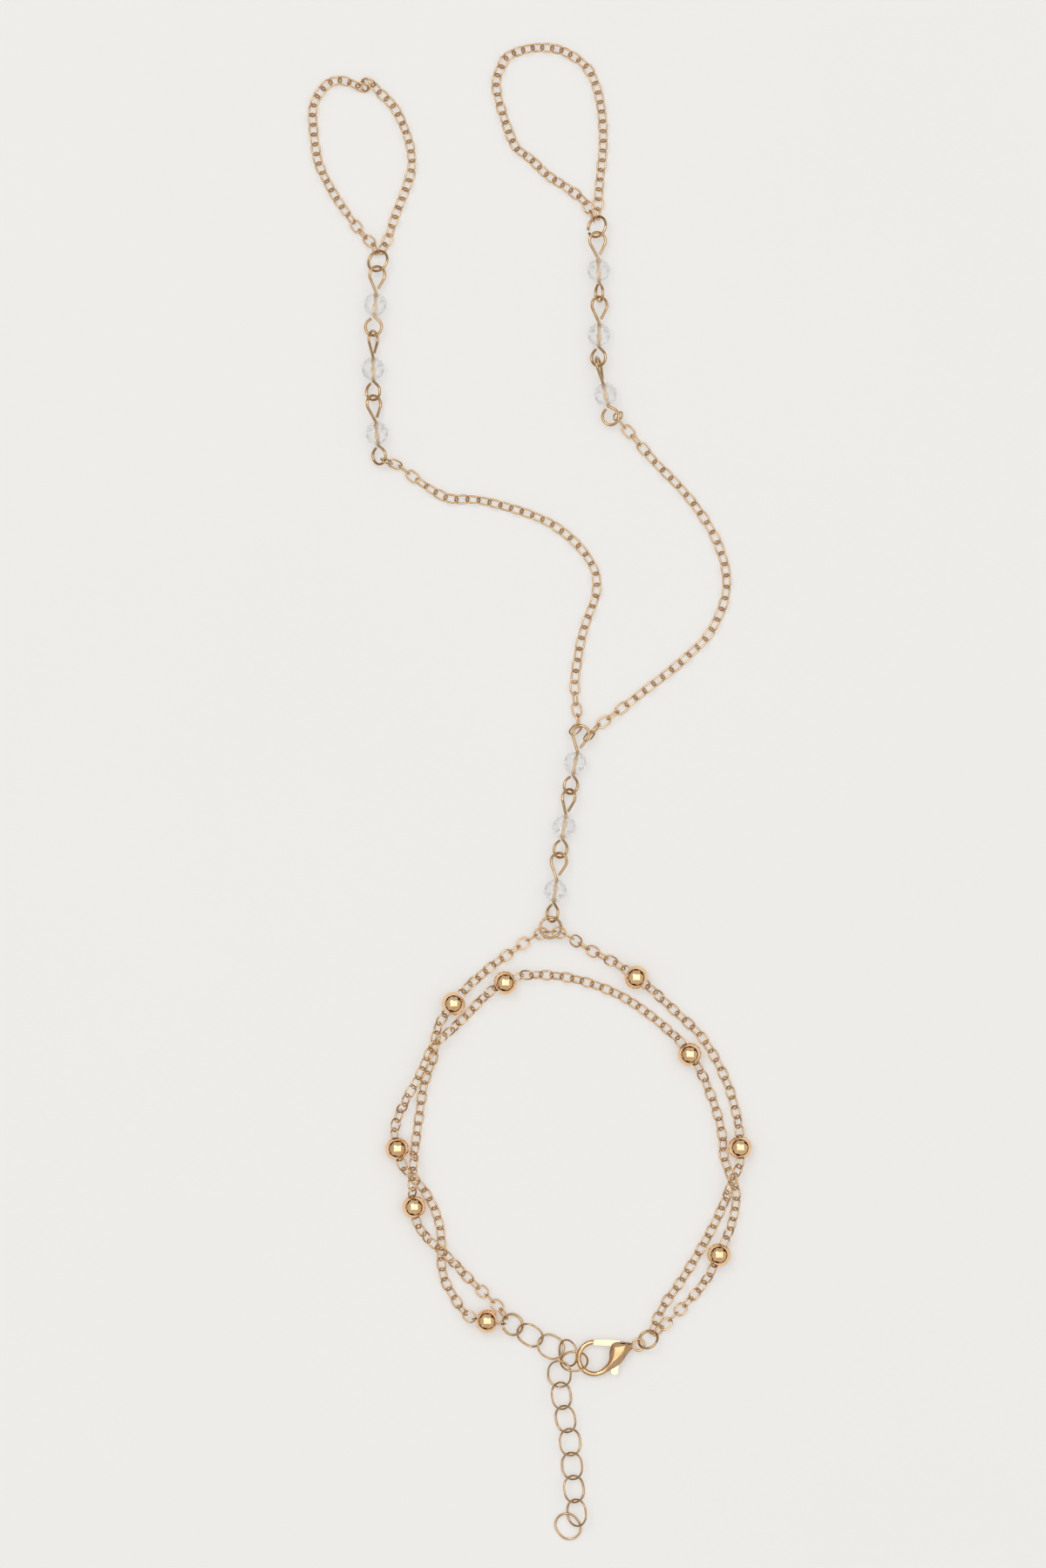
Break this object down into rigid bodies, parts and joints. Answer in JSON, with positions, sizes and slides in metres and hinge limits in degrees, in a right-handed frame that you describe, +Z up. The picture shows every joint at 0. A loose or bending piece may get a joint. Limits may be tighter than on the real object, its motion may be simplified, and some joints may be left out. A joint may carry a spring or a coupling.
{
  "type": "hand chain bracelet",
  "caption": "Hand chain lying flat: beaded double wrist strand with lobster clasp and extension chain, crystal strings and hand chains leading to two finger loops.",
  "frame": {"origin": "middle of the whole outline as it lies, on the table's surface", "axes": "+Y from the clasp towards the finger loops, +Z up from the table, +X across the hand to the clasp's side"},
  "size_m": [0.0636, 0.2146, 0.0034],
  "materials": {
    "gold": "polished rose gold plate",
    "crystal": "clear cut crystal"
  },
  "bodies": {
    "bracelet": {"finger_chain_left": "gold", "finger_chain_right": "gold", "hand_chain_left": "gold", "hand_chain_right": "gold", "finger_ring_left": "gold", "finger_ring_right": "gold", "centre_ring": "gold", "end_ring": "gold", "clasp_ring": "gold", "crystal_left_1": "crystal", "crystal_left_2": "crystal", "crystal_left_3": "crystal", "crystal_right_1": "crystal", "crystal_right_2": "crystal", "crystal_right_3": "crystal", "crystal_centre_1": "crystal", "crystal_centre_2": "crystal", "crystal_centre_3": "crystal", "eye_pin_left_1": "gold", "eye_pin_left_2": "gold", "eye_pin_left_3": "gold", "eye_pin_right_1": "gold", "eye_pin_right_2": "gold", "eye_pin_right_3": "gold", "eye_pin_centre_1": "gold", "eye_pin_centre_2": "gold", "eye_pin_centre_3": "gold", "wrist_chain_outer": "gold", "wrist_chain_inner": "gold", "wrist_bead_outer_1": "gold", "wrist_bead_outer_2": "gold", "wrist_bead_outer_3": "gold", "wrist_bead_outer_4": "gold", "wrist_bead_inner_1": "gold", "wrist_bead_inner_2": "gold", "wrist_bead_inner_3": "gold", "wrist_bead_inner_4": "gold", "wrist_bead_inner_5": "gold", "extension_link_1": "gold", "extension_link_2": "gold", "extension_link_3": "gold", "extension_link_4": "gold", "extension_link_5": "gold", "extension_link_6": "gold", "extension_link_7": "gold", "extension_link_8": "gold", "extension_link_9": "gold", "extension_link_10": "gold", "extension_link_11": "gold", "extension_link_12": "gold", "clasp_body": "gold", "clasp_pin": "gold"},
    "lever": {"clasp_lever": "gold"}
  },
  "joints": [
    {"name": "clasp_lever_hinge", "type": "hinge", "parent": "bracelet", "child": "lever", "pos_m": [0.0125, -0.0796, 0.001], "axis": [0, 0, 1], "range_deg": [0, 25], "stiffness_Nm_per_rad": 0.0002, "springref_deg": -17.19}
  ]
}
